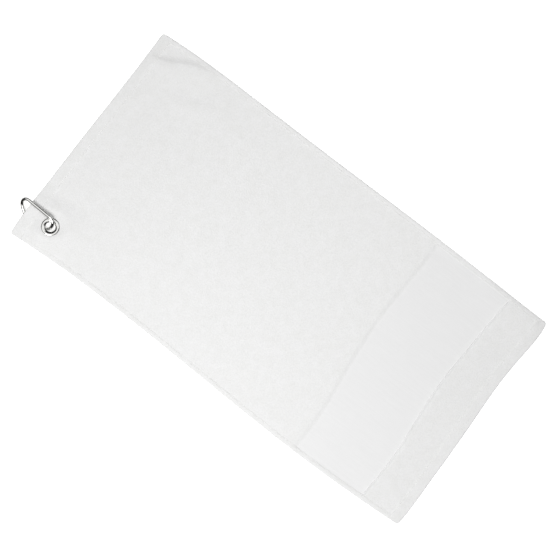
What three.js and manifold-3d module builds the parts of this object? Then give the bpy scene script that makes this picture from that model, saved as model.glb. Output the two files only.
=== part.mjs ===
// Golf towel with an eyelet and a spring hook.
// Row frame: millimetres, +X along the towel from the eyelet end to the border end, +Y across it,
// +Z up. The origin is the middle of the cloth on the surface that it lies on.
// The cloth is woven in one piece. Its weave zones and turned hems are separate solids, because each
// has a thickness and a finish of its own.

import * as THREE from 'three';
import { mergeVertices } from 'three/addons/utils/BufferGeometryUtils.js';
import Module from 'manifold-3d';

const wasm = await Module();
wasm.setup();

// ---- driving dimensions -------------------------------------------------------------------------

const towelLength = 600;
const towelWidth = 314;
const terryThickness = 2.4;      // both piles, resting
const borderThickness = 1.2;     // flat woven band
const borderLength = 105;
const endStripLength = 58;       // terry beyond the border, hem included
const hemThickness = 3.0;
const endHemWidth = 16;
const longHemWidth = 7;
const stitchFromEndFold = 14;
const stitchFromLongFold = 5.6;
const threadWidth = 0.5;
const threadThickness = 0.35;

const eyeletRadius = 11.5;
const eyeletHoleRadius = 6;
const eyeletInsetX = 34.8;       // from the short edge to the eyelet's centre
const eyeletInsetY = 34.9;       // from the long edge to the eyelet's centre
const eyeletTilt = THREE.MathUtils.degToRad(13);
const clampedCloth = 1.1;        // thickness of the cloth pinched in the eyelet

const wireRadius = 2.2;
const hookTilt = THREE.MathUtils.degToRad(28);
const narrowRadius = 9.2;        // centre line of the hook's small end
const hookReach = 48.2;          // centre line, small end to large end
const spineFlare = 10.8;         // the spine's offset from the hook's axis at the large end
const cornerRadius = 6;
const noseDrop = 10.6;           // the nose's offset from the hook's axis
const cornerLift = 6.3;          // height of the cloth's underside where the hook lies beneath it
const gap = 0.3;                 // between pieces that touch

// ---- worked out from them -----------------------------------------------------------------------

const halfLength = towelLength / 2;
const halfWidth = towelWidth / 2;
const borderEnd = halfLength - endStripLength;
const borderStart = borderEnd - borderLength;
const eyeletX = -halfLength + eyeletInsetX;
const eyeletY = -halfWidth + eyeletInsetY;
const hookX = eyeletX + 1.0;     // where the wire passes through the eyelet
const hookY = eyeletY + 1.2;
const hookZ = wireRadius + noseDrop * Math.sin(hookTilt);
const eyeletZ = hookZ + (hookY - eyeletY) * Math.tan(eyeletTilt);

// ---- materials ----------------------------------------------------------------------------------

const material = (color, roughness, metalness = 0) =>
  new THREE.MeshStandardMaterial({ color, roughness, metalness });
const terryCotton = () => material(0xf1f1f0, 0.95);
const plainWeave = () => material(0xececeb, 0.85);
const sewingThread = () => material(0xf4f4f2, 0.6);
const nickelPlate = () => material(0xc9cacb, 0.25, 1);
const springSteel = () => material(0x9a9c9e, 0.35, 1);

// ---- joining and cutting ------------------------------------------------------------------------

function toSolid(geometry, matrix = new THREE.Matrix4()) {
  let plain = geometry.clone();
  plain.deleteAttribute('normal');
  plain.deleteAttribute('uv');
  plain.applyMatrix4(matrix);
  plain = mergeVertices(plain, 1e-4);
  return new wasm.Manifold(new wasm.Mesh({
    numProp: 3,
    vertProperties: new Float32Array(plain.attributes.position.array),
    triVerts: new Uint32Array(plain.index.array),
  }));
}

function toGeometry(solid) {
  const mesh = solid.getMesh();
  const geometry = new THREE.BufferGeometry();
  geometry.setAttribute('position', new THREE.BufferAttribute(new Float32Array(mesh.vertProperties), 3));
  geometry.setIndex(new THREE.BufferAttribute(new Uint32Array(mesh.triVerts), 1));
  geometry.computeVertexNormals();
  return geometry;
}

const shifted = (x, y, z) => new THREE.Matrix4().makeTranslation(x, y, z);
const box = (sx, sy, sz, x, y, z) => toSolid(new THREE.BoxGeometry(sx, sy, sz), shifted(x, y, z));

// A round bar along local X from x0 to x1, and one along local Z.
const barX = (radius, x0, x1, sides = 16) => toSolid(
  new THREE.CylinderGeometry(radius, radius, x1 - x0, sides),
  shifted((x0 + x1) / 2, 0, 0).multiply(new THREE.Matrix4().makeRotationZ(-Math.PI / 2)));
const barZ = (radius, length, x = 0, y = 0, z = 0, sides = 16) => toSolid(
  new THREE.CylinderGeometry(radius, radius, length, sides),
  shifted(x, y, z).multiply(new THREE.Matrix4().makeRotationX(Math.PI / 2)));

const towel = new THREE.Group();
function add(parent, name, geometry, finish) {
  const mesh = new THREE.Mesh(geometry, finish);
  mesh.name = name;
  parent.add(mesh);
  return mesh;
}

// ---- how the cloth lies -------------------------------------------------------------------------

const fade = (from, to, value) => THREE.MathUtils.smoothstep(value, from, to);

// Height of the cloth's underside. It lies flat but for the corner that rests on the hook, and it
// takes the eyelet's tilt where the eyelet grips it.
function lift(x, y) {
  const alongTowel = 1 - fade(eyeletX - 4, eyeletX + 64, x);
  const acrossTowel = 1 - fade(eyeletY + 4, eyeletY + 42, y);
  const drop = 1 - 0.45 * (1 - fade(-halfWidth, eyeletY - 16, y));
  const draped = cornerLift * alongTowel * acrossTowel * drop;
  const plane = eyeletZ - terryThickness / 2 - (y - eyeletY) * Math.tan(eyeletTilt);
  const grip = 1 - fade(eyeletRadius + 1, eyeletRadius + 13, Math.hypot(x - eyeletX, y - eyeletY));
  return THREE.MathUtils.lerp(draped, plane, grip);
}

// A closed slab over a grid of x and y lines, between an underside and a top.
function slab(xs, ys, bottom, top) {
  const columns = xs.length;
  const rows = ys.length;
  const positions = [];
  for (const height of [bottom, top]) {
    for (const y of ys) {
      for (const x of xs) positions.push(x, y, height(x, y));
    }
  }
  const at = (layer, row, column) => (layer * rows + row) * columns + column;
  const faces = [];
  const quad = (a, b, c, d) => faces.push(a, b, c, a, c, d);
  for (let row = 0; row + 1 < rows; row++) {
    for (let column = 0; column + 1 < columns; column++) {
      quad(at(0, row, column), at(0, row + 1, column), at(0, row + 1, column + 1), at(0, row, column + 1));
      quad(at(1, row, column), at(1, row, column + 1), at(1, row + 1, column + 1), at(1, row + 1, column));
    }
  }
  for (let column = 0; column + 1 < columns; column++) {
    quad(at(0, 0, column), at(0, 0, column + 1), at(1, 0, column + 1), at(1, 0, column));
    const back = rows - 1;
    quad(at(0, back, column + 1), at(0, back, column), at(1, back, column), at(1, back, column + 1));
  }
  for (let row = 0; row + 1 < rows; row++) {
    quad(at(0, row + 1, 0), at(0, row, 0), at(1, row, 0), at(1, row + 1, 0));
    const side = columns - 1;
    quad(at(0, row, side), at(0, row + 1, side), at(1, row + 1, side), at(1, row, side));
  }
  const geometry = new THREE.BufferGeometry();
  geometry.setAttribute('position', new THREE.Float32BufferAttribute(positions, 3));
  geometry.setIndex(faces);
  geometry.computeVertexNormals();
  return geometry;
}

// Grid lines from one value to another, close together only where the cloth is lifted.
const liftedX = eyeletX + 64;
const liftedY = eyeletY + 42;
function gridLines(from, to, liftedEnd, step, extra = []) {
  const lines = new Set([from, to, ...extra]);
  const last = Math.min(to, liftedEnd);
  const count = Math.max(0, Math.ceil((last - from) / step));
  for (let i = 1; i <= count; i++) lines.add(Math.min(to, from + (last - from) * i / count));
  return [...lines].filter((line) => line >= from && line <= to).sort((a, b) => a - b);
}

// ---- cloth zones --------------------------------------------------------------------------------

const fieldStart = -halfLength + endHemWidth;
const innerHalfWidth = halfWidth - longHemWidth;
const across = gridLines(-innerHalfWidth, innerHalfWidth, liftedY, 4.2);

function eyeletClearance() {
  const pinch = clampedCloth / 2;
  const reach = eyeletRadius + gap;
  const tall = 6;
  const barrel = eyeletHoleRadius + 0.45 + gap;
  const profile = [[0, -tall], [reach, -tall], [reach, -pinch], [barrel, -pinch], [barrel, pinch],
    [reach, pinch], [reach, tall], [0, tall]];
  const lathe = new THREE.LatheGeometry(profile.map(([r, z]) => new THREE.Vector2(r, z)), 32);
  const place = shifted(eyeletX, eyeletY, eyeletZ)
    .multiply(new THREE.Matrix4().makeRotationX(-eyeletTilt))
    .multiply(new THREE.Matrix4().makeRotationX(Math.PI / 2));
  return toSolid(lathe, place);
}

function clothZone(name, from, to, thickness, floorGap, finish, cut) {
  const xs = gridLines(from, to, liftedX, 4.2);
  const bottom = (x, y) => lift(x, y) + floorGap;
  const top = (x, y) => bottom(x, y) + thickness;
  let geometry = slab(xs, across, bottom, top);
  if (cut) geometry = toGeometry(toSolid(geometry).subtract(cut));
  add(towel, name, geometry, finish);
}

clothZone('terry_field', fieldStart, borderStart, terryThickness, 0, terryCotton(), eyeletClearance());
clothZone('flat_border', borderStart, borderEnd, borderThickness, 0, plainWeave());
clothZone('terry_end_strip', borderEnd, halfLength - endHemWidth, terryThickness, 0, terryCotton());

// ---- hems ---------------------------------------------------------------------------------------

// Profile of a turned hem at a distance from its fold: rounded at the fold, pinched at the stitches.
const pinchTop = 0.7;
const pinchBottom = 0.45;
const grooveHalf = 0.55;
function hemProfile(fromFold, stitchAt) {
  const rounding = 1 - Math.sqrt(Math.min(1, (fromFold + 0.15) / 2.2));
  const inGroove = Math.abs(fromFold - stitchAt) <= grooveHalf + 1e-6;
  return {
    low: rounding * 1.1 + (inGroove ? pinchBottom : 0),
    high: hemThickness - rounding * 1.1 - (inGroove ? pinchTop : 0),
  };
}

const foldLines = [0, 0.5, 1.2, 2.2];
const grooveStart = 2.8;         // an end hem's groove stops this far from the long edges
const grooveLines = (stitchAt) => [-grooveHalf - 0.4, -grooveHalf, grooveHalf, grooveHalf + 0.4]
  .map((offset) => stitchAt + offset);

function endHem(name, side) {
  const distances = [...foldLines, ...grooveLines(stitchFromEndFold), endHemWidth];
  const xs = distances.map((distance) => side * (halfLength - distance)).sort((a, b) => a - b);
  const edges = [...foldLines, grooveStart]
    .flatMap((distance) => [distance - halfWidth, halfWidth - distance]);
  const ys = gridLines(-halfWidth, halfWidth, side < 0 ? liftedY : -halfWidth, 4.2, edges);
  const profile = (x, y) => {
    const fromEnd = halfLength - Math.abs(x);
    const fromSide = halfWidth - Math.abs(y);
    const beside = fromSide < grooveStart - 1e-6 ? fromSide : fromEnd;
    return hemProfile(Math.min(fromEnd, beside), stitchFromEndFold);
  };
  add(towel, name, slab(xs, ys, (x, y) => lift(x, y) + profile(x, y).low,
    (x, y) => lift(x, y) + profile(x, y).high), terryCotton());
}

function longHem(name, side) {
  const distances = [...foldLines, ...grooveLines(stitchFromLongFold), longHemWidth];
  const ys = distances.map((distance) => side * (halfWidth - distance)).sort((a, b) => a - b);
  const xs = gridLines(fieldStart, -fieldStart, side < 0 ? liftedX : fieldStart, 4.2);
  const profile = (y) => hemProfile(halfWidth - Math.abs(y), stitchFromLongFold);
  add(towel, name, slab(xs, ys, (x, y) => lift(x, y) + profile(y).low,
    (x, y) => lift(x, y) + profile(y).high), terryCotton());
}

endHem('eyelet_end_hem', -1);
endHem('border_end_hem', 1);
longHem('long_hem_upper', 1);
longHem('long_hem_lower', -1);

// ---- sewing threads -----------------------------------------------------------------------------

// Needle threads lie in the groove on top of a hem, bobbin threads in the one beneath it.
const threadGap = 0.08;
function thread(name, xs, ys, above) {
  const base = above ? hemThickness - pinchTop + threadGap : pinchBottom - threadGap - threadThickness;
  const bottom = (x, y) => lift(x, y) + base;
  add(towel, name, slab(xs, ys, bottom, (x, y) => bottom(x, y) + threadThickness), sewingThread());
}

const threadEnd = 1.5;           // a seam stops this far from the fold it runs towards
for (const [side, label] of [[-1, 'eyelet_end'], [1, 'border_end']]) {
  const seam = side * (halfLength - stitchFromEndFold);
  const xs = [seam - threadWidth / 2, seam + threadWidth / 2];
  const last = halfWidth - grooveStart - threadEnd;
  const ys = gridLines(-last, last, side < 0 ? liftedY : -last, 4.2);
  thread(`needle_thread_${label}`, xs, ys, true);
  thread(`bobbin_thread_${label}`, xs, ys, false);
}
for (const [side, label] of [[1, 'upper'], [-1, 'lower']]) {
  const seam = side * (halfWidth - stitchFromLongFold);
  const ys = [seam - threadWidth / 2, seam + threadWidth / 2];
  const first = fieldStart + threadEnd;
  const xs = gridLines(first, -first, side < 0 ? liftedX : first, 4.2);
  thread(`needle_thread_${label}`, xs, ys, true);
  thread(`bobbin_thread_${label}`, xs, ys, false);
}

// ---- eyelet -------------------------------------------------------------------------------------

const eyelet = new THREE.Group();
eyelet.position.set(eyeletX, eyeletY, eyeletZ);
eyelet.rotation.x = -eyeletTilt;
towel.add(eyelet);

// A ring turned about local Z from a closed outline of radius and height.
function turned(outline, segments = 32) {
  const points = [...outline, outline[0]].map(([r, z]) => new THREE.Vector2(r, z));
  return new THREE.LatheGeometry(points, segments).rotateX(Math.PI / 2);
}

// The flanged half, with its barrel rolled over the washer beneath.
add(eyelet, 'eyelet_barrel', turned([
  [6.0, -1.0], [6.25, -1.5], [6.8, -1.8], [7.4, -1.8], [7.85, -1.55], [7.9, -1.35], [7.4, -1.3],
  [6.9, -1.25], [6.45, -0.9], [6.45, 0.6], [6.75, 0.8], [11.1, 0.8], [eyeletRadius, 0.85],
  [11.35, 1.15], [10.7, 1.5], [9.6, 1.75], [8.4, 1.8], [7.3, 1.7], [6.5, 1.4], [6.1, 0.9],
]), nickelPlate());
add(eyelet, 'eyelet_washer', turned([
  [6.85, -1.0], [8.15, -1.05], [8.4, -1.5], [9.4, -1.6], [10.5, -1.45], [11.3, -1.1],
  [11.4, -0.85], [11.1, -0.8], [6.85, -0.8],
]), nickelPlate());

// ---- spring hook --------------------------------------------------------------------------------

// The hook's own frame: origin where the wire passes through the eyelet, x away from the large end,
// y towards the spine, z square to the ring.
const hook = new THREE.Group();
hook.position.set(hookX, hookY, hookZ);
hook.rotation.x = hookTilt;
towel.add(hook);

const turn = (angle) => new THREE.Vector3(Math.cos(angle), Math.sin(angle), 0);
const degrees = THREE.MathUtils.degToRad;

// An arc from one heading to another, entered at a point; positive radius turns left.
function arcFrom(start, fromHeading, toHeading, radius) {
  const centre = start.clone().addScaledVector(turn(fromHeading + Math.PI / 2), radius);
  const offset = fromHeading - Math.sign(radius) * Math.PI / 2;
  const finish = toHeading - Math.sign(radius) * Math.PI / 2;
  const size = Math.abs(radius);
  const arc = new THREE.Curve();
  arc.getPoint = (t, target = new THREE.Vector3()) => {
    const angle = THREE.MathUtils.lerp(offset, finish, t);
    return target.set(centre.x + size * Math.cos(angle), centre.y + size * Math.sin(angle), 0);
  };
  return arc;
}

const smallCentre = new THREE.Vector3(-narrowRadius, 0, 0);
const spineRun = hookReach - narrowRadius - cornerRadius;
const spineSlope = Math.atan2(spineFlare - narrowRadius, spineRun);
const spineHeading = Math.PI - spineSlope;
const noseHeading = degrees(319);
const gateSlope = degrees(6);

const wire = new THREE.CurvePath();
const spineStart = smallCentre.clone().addScaledVector(turn(spineHeading - Math.PI / 2), narrowRadius);
const spineEnd = spineStart.clone().addScaledVector(turn(spineHeading), spineRun);
const largeCorner = arcFrom(spineEnd, spineHeading, degrees(293), cornerRadius);
const largeEnd = arcFrom(largeCorner.getPoint(1), degrees(293), noseHeading, 15);
const slantEnd = largeEnd.getPoint(1);
const noseRadius = 5;
const noseTurn = noseRadius * (1 - Math.cos(Math.PI * 2 - noseHeading));
const slantLength = (slantEnd.y + noseDrop - noseTurn) / -Math.sin(noseHeading);
const noseStart = slantEnd.clone().addScaledVector(turn(noseHeading), slantLength);
const nose = arcFrom(noseStart, noseHeading, Math.PI * 2 + gateSlope, noseRadius);
const noseTip = nose.getPoint(1).addScaledVector(turn(gateSlope), 1.2);
const hingeHeading = gateSlope + Math.PI;
const hingeSide = smallCentre.clone().addScaledVector(turn(gateSlope - Math.PI / 2), narrowRadius);

// The rivet lies on the line from the nose to the small end, so that the gate closes flush.
const gateLine = hingeSide.clone().sub(noseTip).normalize();
const rivetAt = hingeSide.clone().addScaledVector(gateLine, -4.2);
const shoulder = rivetAt.clone().addScaledVector(gateLine, 3.1);

wire.add(new THREE.LineCurve3(shoulder, hingeSide));
wire.add(arcFrom(hingeSide, gateSlope, spineHeading, narrowRadius));
wire.add(new THREE.LineCurve3(spineStart, spineEnd));
wire.add(largeCorner);
wire.add(largeEnd);
wire.add(new THREE.LineCurve3(slantEnd, noseStart));
wire.add(nose);
wire.add(new THREE.LineCurve3(nose.getPoint(1), noseTip));

const round = new THREE.Shape();
round.absarc(0, 0, wireRadius, 0, Math.PI * 2);
const rod = toSolid(new THREE.ExtrudeGeometry(round, {
  steps: 72, curveSegments: 7, bevelEnabled: false, extrudePath: wire,
}));

// The gate's frame: origin at the rivet, x towards the nose, y away from the spine.
const gateAngle = Math.atan2(-gateLine.y, -gateLine.x);
const gatePlace = shifted(rivetAt.x, rivetAt.y, 0).multiply(new THREE.Matrix4().makeRotationZ(gateAngle));
const gateRadius = 1.8;
const gateLength = rivetAt.distanceTo(noseTip) - gap;
const tongueHalf = 0.7;
const rivetRadius = 0.7;
const forkBack = 1.9;
const slotEnd = 2.9;

// A flat tongue for the rivet at one end, and a slot for the gate's tip at the other.
const tongue = box(5.6, 3.2, tongueHalf * 2, -0.8, 0, 0).subtract(barZ(rivetRadius + gap, 6));
const tipSlot = box(3.2, 4, 2, gateLength + 0.9, -1.3, 0);
const hookBody = rod.add(tongue.transform(gatePlace.toArray())).subtract(tipSlot.transform(gatePlace.toArray()));
add(hook, 'hook_body', toGeometry(hookBody), nickelPlate());

const gate = new THREE.Group();
gate.applyMatrix4(gatePlace);
hook.add(gate);

const boreRadius = 1.15;
const boreEnd = 13;
const gateTip = box(2.6, 1.8, 1.3, gateLength + 0.2, -0.5, 0);
const gateSolid = barX(gateRadius, -forkBack, gateLength)
  .subtract(box(slotEnd + forkBack + 1, 5, (tongueHalf + gap) * 2, (slotEnd - forkBack - 1) / 2, 0, 0))
  .subtract(barX(boreRadius, slotEnd - 1, boreEnd, 12))
  .subtract(barZ(rivetRadius + gap, 6))
  .add(gateTip);
add(gate, 'hook_gate', toGeometry(gateSolid), nickelPlate());

const headGap = gateRadius + 0.15;
add(gate, 'gate_rivet', toGeometry(barZ(rivetRadius, headGap * 2 + 0.8)
  .add(barZ(1.2, 0.5, 0, 0, headGap + 0.25))
  .add(barZ(1.2, 0.5, 0, 0, -headGap - 0.25))), springSteel());

const plungerFace = 2.35;
const plungerEnd = 5.4;
add(gate, 'gate_plunger', toGeometry(barX(0.8, plungerFace, plungerEnd, 12)), springSteel());

const springStart = plungerEnd + 0.8;
const springLength = boreEnd - gap - springStart;
const coil = new THREE.Curve();
const springTurns = 7;
coil.getPoint = (t, target = new THREE.Vector3()) => {
  const angle = t * springTurns * Math.PI * 2;
  return target.set(springStart + 0.15 + t * (springLength - 0.3), 0.68 * Math.cos(angle), 0.68 * Math.sin(angle));
};
const springWire = new THREE.Shape();
springWire.absarc(0, 0, 0.15, 0, Math.PI * 2);
add(gate, 'gate_spring', new THREE.ExtrudeGeometry(springWire, {
  steps: springTurns * 10, curveSegments: 2, bevelEnabled: false, extrudePath: coil,
}), springSteel());

export default towel;
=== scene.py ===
# Golf towel: the visual model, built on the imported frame.
# Metres in Blender, millimetres in the settings where no other unit is named. +X runs along the towel
# from the eyelet end to the border end, +Y across it, +Z up from the surface that it lies on.

import math
import bmesh
import bpy
import numpy as np
from mathutils import Matrix


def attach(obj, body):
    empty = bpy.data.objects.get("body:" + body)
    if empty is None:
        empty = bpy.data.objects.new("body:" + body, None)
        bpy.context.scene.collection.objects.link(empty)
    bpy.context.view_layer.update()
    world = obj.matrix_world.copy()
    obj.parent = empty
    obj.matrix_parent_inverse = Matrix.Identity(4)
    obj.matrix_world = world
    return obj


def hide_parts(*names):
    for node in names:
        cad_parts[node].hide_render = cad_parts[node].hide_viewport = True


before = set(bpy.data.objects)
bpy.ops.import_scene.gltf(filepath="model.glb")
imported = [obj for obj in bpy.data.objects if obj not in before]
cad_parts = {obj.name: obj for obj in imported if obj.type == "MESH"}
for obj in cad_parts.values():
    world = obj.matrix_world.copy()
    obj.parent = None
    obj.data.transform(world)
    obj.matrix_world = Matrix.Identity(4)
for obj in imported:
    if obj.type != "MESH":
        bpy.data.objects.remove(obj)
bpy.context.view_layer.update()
mm = 0.001


# Shared small tools

def smoothstep(start, stop, value):
    # 0 before start, 1 after stop, and 3t^2 - 2t^3 between them.
    t = np.clip((value - start) / (stop - start), 0, 1)
    return t * t * (3 - 2 * t)


def linearColour(hexColour):
    # sRGB hex to linear red, green, blue and an alpha of 1.
    parts = [int(hexColour[i:i + 2], 16) / 255 for i in (1, 3, 5)]
    return [c / 12.92 if c <= 0.04045 else ((c + 0.055) / 1.055) ** 2.4 for c in parts] + [1]


def addNode(tree, kind, settings=None, inputs=None, links=None):
    # One node: its settings, its fixed inputs, and links from other nodes' outputs to its inputs.
    node = tree.nodes.new(kind)
    for key, value in (settings or {}).items():
        setattr(node, key, value)
    for key, value in (inputs or {}).items():
        node.inputs[key].default_value = value
    for key, output in (links or {}).items():
        tree.links.new(output, node.inputs[key])
    return node


def newMaterial(name, shaderInputs):
    # A material with an output and a Principled shader, whose constants are on its own sockets.
    material = bpy.data.materials.new(name)
    material.use_nodes = True
    tree = material.node_tree
    tree.nodes.clear()
    shader = addNode(tree, "ShaderNodeBsdfPrincipled", inputs=shaderInputs)
    addNode(tree, "ShaderNodeOutputMaterial", links={"Surface": shader.outputs["BSDF"]})
    return material, tree, shader


def turnOutwards(mesh, mergeWithin=None):
    # Merges doubles where a distance is given, then turns every face outwards.
    work = bmesh.new()
    work.from_mesh(mesh)
    if mergeWithin is not None:
        bmesh.ops.remove_doubles(work, verts=work.verts, dist=mergeWithin)
    bmesh.ops.recalc_face_normals(work, faces=work.faces)
    work.to_mesh(mesh)
    work.free()


def showMesh(name, mesh, material, sharpAngle):
    # An object for a finished mesh, smooth but for edges that are sharper than sharpAngle.
    mesh.polygons.foreach_set("use_smooth", np.ones(len(mesh.polygons), dtype=bool))
    mesh.set_sharp_from_angle(angle=math.radians(sharpAngle))
    mesh.materials.clear()
    mesh.materials.append(material)
    piece = bpy.data.objects.new(name, mesh)
    bpy.context.scene.collection.objects.link(piece)
    return piece


def makePiece(name, points, faces, material, uv=None, sharpAngle=40):
    # A mesh object from points in millimetres, with a place on its UV map for each point.
    mesh = bpy.data.meshes.new(name)
    mesh.from_pydata((np.asarray(points) * mm).tolist(), [], faces)
    if uv is not None:
        layer = mesh.uv_layers.new(name="UVMap")
        corners = np.empty(len(mesh.loops), dtype=np.int32)
        mesh.loops.foreach_get("vertex_index", corners)
        layer.data.foreach_set("uv", np.asarray(uv)[corners].ravel())
    turnOutwards(mesh, mergeWithin=0.002 * mm)
    return showMesh(name, mesh, material, sharpAngle)


# Camera: straight above, turned so that the towel lies across the frame from corner to corner

cameraSettings = {
    "lens": 100, "sensor": 36,
    "above": (-6.8, -1.6), "height": 1904,   # mm
    "turn": 37.08,                           # degrees
}
cameraData = bpy.data.cameras.new("camera")
cameraData.type = "PERSP"
cameraData.lens = cameraSettings["lens"]
cameraData.sensor_width = cameraSettings["sensor"]
cameraData.clip_end = 50
camera = bpy.data.objects.new("camera", cameraData)
camera.location = (cameraSettings["above"][0] * mm, cameraSettings["above"][1] * mm,
                   cameraSettings["height"] * mm)
camera.rotation_euler = (0, 0, math.radians(cameraSettings["turn"]))
bpy.context.scene.collection.objects.link(camera)
bpy.context.scene.camera = camera


# Light and floor: a white dome that is bright overhead and dark at its flanks and leans towards the
# lower long edge, a soft panel on either long side, the lower one stronger, a white floor, and plain
# white behind everything

studio = {
    "overhead": "#ffffff", "flank": "#161617", "domeStrength": 1.49,
    "lean": (-0.04, -0.07, 1.0), "flankAt": 0.68, "overheadAt": 0.90,
    "panelSize": (0.6, 0.4),                 # metres, and so are the panels' places
    "panels": [{"from": (-0.02, -0.50, 0.85), "power": 4.8}, {"from": (-0.02, 0.64, 0.70), "power": 1.2}],
    "floorColour": "#f7f7f7", "floorGlow": 0.45, "floorSize": 8000, "floorDrop": 0.25,
}


def buildStudio(s):
    world = bpy.data.worlds.new("softDome")
    bpy.context.scene.world = world
    world.use_nodes = True
    tree = world.node_tree
    tree.nodes.clear()
    direction = addNode(tree, "ShaderNodeTexCoord")
    axis = np.array(s["lean"]) / np.linalg.norm(s["lean"])
    height = addNode(tree, "ShaderNodeVectorMath", {"operation": "DOT_PRODUCT"}, {1: axis.tolist()},
                     {0: direction.outputs["Generated"]})
    ramp = addNode(tree, "ShaderNodeMapRange", {"interpolation_type": "SMOOTHSTEP"},
                   {"From Min": s["flankAt"], "From Max": s["overheadAt"]},
                   {"Value": height.outputs["Value"]})
    colour = addNode(tree, "ShaderNodeMix", {"data_type": "RGBA"},
                     {"A": linearColour(s["flank"]), "B": linearColour(s["overhead"])},
                     {"Factor": ramp.outputs["Result"]})
    glow = addNode(tree, "ShaderNodeBackground", inputs={"Strength": s["domeStrength"]},
                   links={"Color": colour.outputs["Result"]})
    backdrop = addNode(tree, "ShaderNodeBackground", inputs={"Color": linearColour(s["overhead"])})
    rays = addNode(tree, "ShaderNodeLightPath")
    seen = addNode(tree, "ShaderNodeMixShader", links={0: rays.outputs["Is Camera Ray"],
                   1: glow.outputs["Background"], 2: backdrop.outputs["Background"]})
    addNode(tree, "ShaderNodeOutputWorld", links={"Surface": seen.outputs["Shader"]})

    for i, panel in enumerate(s["panels"]):
        lamp = bpy.data.lights.new(f"softPanel{i}", "AREA")
        lamp.energy = panel["power"]
        lamp.shape = "RECTANGLE"
        lamp.size, lamp.size_y = s["panelSize"]
        holder = bpy.data.objects.new(f"softPanel{i}", lamp)
        holder.location = panel["from"]
        # turned so that it shines at the middle of the towel
        away = np.array(panel["from"]) / np.linalg.norm(panel["from"])
        holder.rotation_euler = (math.acos(away[2]), 0, math.atan2(away[1], away[0]) + math.pi / 2)
        bpy.context.scene.collection.objects.link(holder)

    half = s["floorSize"] / 2
    corners = [(-half, -half), (half, -half), (half, half), (-half, half)]
    paint, _, _ = newMaterial("matt white studio floor", {
        "Base Color": linearColour(s["floorColour"]), "Roughness": 0.9,
        "Specular IOR Level": 0.0,
        "Emission Color": linearColour("#ffffff"), "Emission Strength": s["floorGlow"]})
    floor = makePiece("studioFloor", [(x, y, -s["floorDrop"]) for x, y in corners], [(0, 1, 2, 3)], paint)


buildStudio(studio)
bpy.context.scene.view_settings.view_transform = "Standard"
bpy.context.scene.view_settings.look = "None"
print("studio done")


# Materials

def objectCoordinates(tree, spacing):
    # Object coordinates, scaled so that one unit is the given spacing in millimetres.
    place = addNode(tree, "ShaderNodeTexCoord")
    return addNode(tree, "ShaderNodeMapping", inputs={"Scale": [1 / (d * mm) for d in spacing]},
                   links={"Vector": place.outputs["Object"]})


terrySettings = {
    "light": "#efefef", "shade": "#ebebea",
    "loopSpacing": 1.15, "rowSpacing": 1.5, "loopDepth": 0.22,
    "tuftSpacing": 5.0, "tuftDepth": 0.035, "blotchSpacing": 11.0, "hollowShade": 0.93,
}


def terryCotton(name, brightness):
    # White cotton terry, woven with a loop pile and washed. Matt and a little fuzzy: each loop is a small
    # soft bump in a row along the warp, with painted shade in the hollows between the loops, and tufts of
    # loops lean together into faint blotches.
    # brightness scales its colour.
    s = terrySettings
    material, tree, shader = newMaterial(name, {
        "Roughness": 0.95, "Sheen Weight": 0.12, "Sheen Roughness": 0.6, "Specular IOR Level": 0.15})
    loopPlace = objectCoordinates(tree, (s["rowSpacing"], s["loopSpacing"], s["rowSpacing"]))
    loops = addNode(tree, "ShaderNodeTexVoronoi", {"feature": "SMOOTH_F1"},
                    {"Scale": 1.0, "Smoothness": 0.35, "Randomness": 0.75},
                    {"Vector": loopPlace.outputs[0]})
    tufts = addNode(tree, "ShaderNodeTexNoise", inputs={"Scale": 1.0, "Detail": 3.0, "Roughness": 0.6},
                    links={"Vector": objectCoordinates(tree, [s["tuftSpacing"]] * 3).outputs[0]})
    blotches = addNode(tree, "ShaderNodeTexNoise", inputs={"Scale": 1.0, "Detail": 4.0, "Roughness": 0.65},
                       links={"Vector": objectCoordinates(tree, [s["blotchSpacing"]] * 3).outputs[0]})
    tone = addNode(tree, "ShaderNodeMapRange", inputs={"From Min": 0.3, "From Max": 0.7},
                   links={"Value": blotches.outputs["Fac"]})
    tint = addNode(tree, "ShaderNodeMix", {"data_type": "RGBA"},
                   {"A": linearColour(s["light"]), "B": linearColour(s["shade"])},
                   {"Factor": tone.outputs["Result"]})
    # Painted shade: the colour darkens from the middle of each loop towards the hollows between loops, where
    # the loops shade each other.
    hollowShadePaint = addNode(tree, "ShaderNodeMapRange", links={"Value": loops.outputs["Distance"]}, inputs={
        "From Min": 0.2, "From Max": 0.8, "To Min": brightness, "To Max": brightness * s["hollowShade"]})
    colour = addNode(tree, "ShaderNodeMix", {"data_type": "RGBA", "blend_type": "MULTIPLY"},
                     {"Factor": 1.0}, {"A": tint.outputs["Result"], "B": hollowShadePaint.outputs["Result"]})
    tree.links.new(colour.outputs["Result"], shader.inputs["Base Color"])
    tuftBump = addNode(tree, "ShaderNodeBump", inputs={"Strength": 1.0, "Distance": s["tuftDepth"] * mm},
                       links={"Height": tufts.outputs["Fac"]})
    loopBump = addNode(tree, "ShaderNodeBump", {"invert": True},
                       {"Strength": 1.0, "Distance": s["loopDepth"] * mm},
                       {"Height": loops.outputs["Distance"], "Normal": tuftBump.outputs["Normal"]})
    tree.links.new(loopBump.outputs["Normal"], shader.inputs["Normal"])
    return material


weaveSettings = {
    "light": "#eeeeee", "shade": "#e7e7e7", "threadSpacing": 0.9, "depth": 0.07,
    "slubSize": (30.0, 1.2, 5.0),
}


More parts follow.
